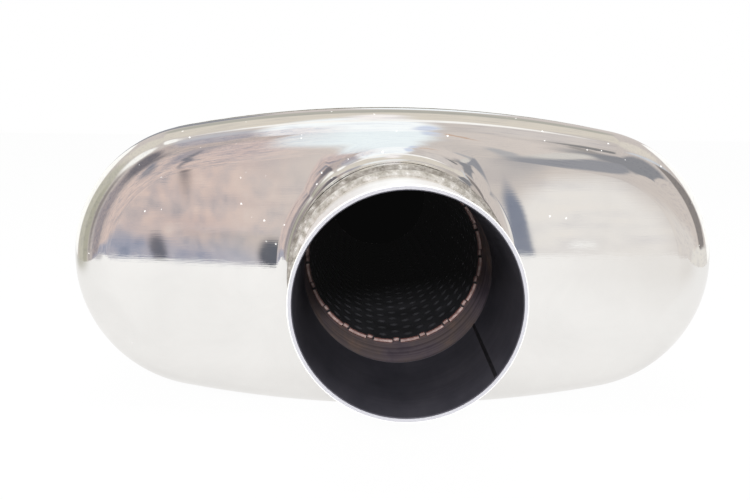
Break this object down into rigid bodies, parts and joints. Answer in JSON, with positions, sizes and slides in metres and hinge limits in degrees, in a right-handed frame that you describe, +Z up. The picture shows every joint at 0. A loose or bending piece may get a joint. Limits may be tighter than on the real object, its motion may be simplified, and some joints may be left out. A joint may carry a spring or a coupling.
{
  "type": "center muffler",
  "caption": "Oval straight-through exhaust muffler in polished stainless steel, with a round neck centred on each end cap and a perforated core in glass fibre packing.",
  "frame": {"origin": "under the middle of the case, at the height of the rim beads that it rests on", "axes": "+Y along the pipe axis from the inlet neck to the outlet neck, +Z up across the oval's short side"},
  "size_m": [0.2348, 0.492, 0.1112],
  "materials": {
    "polished_stainless": "mirror-polished 304 stainless sheet",
    "tube_stainless": "bright drawn stainless tube, dull inside",
    "weld_bead": "rippled weld metal with light heat tint",
    "core_stainless": "perforated stainless sheet, darkened",
    "steel_wool": "matted fine wire",
    "glass_fibre": "matted fibre blanket"
  },
  "bodies": {
    "root": {"body_shell": "polished_stainless", "shell_seam_weld": "weld_bead", "front_end_cap": "polished_stainless", "rear_end_cap": "polished_stainless", "front_rim_weld": "weld_bead", "rear_rim_weld": "weld_bead", "inlet_neck": "tube_stainless", "outlet_neck": "tube_stainless", "inlet_sleeve": "tube_stainless", "outlet_sleeve": "tube_stainless", "inlet_neck_weld": "weld_bead", "outlet_neck_weld": "weld_bead", "inlet_collar_weld": "weld_bead", "outlet_collar_weld": "weld_bead", "perforated_core": "core_stainless", "core_weld": "weld_bead", "steel_wool_wrap": "steel_wool", "glass_fibre_packing": "glass_fibre"}
  },
  "joints": []
}
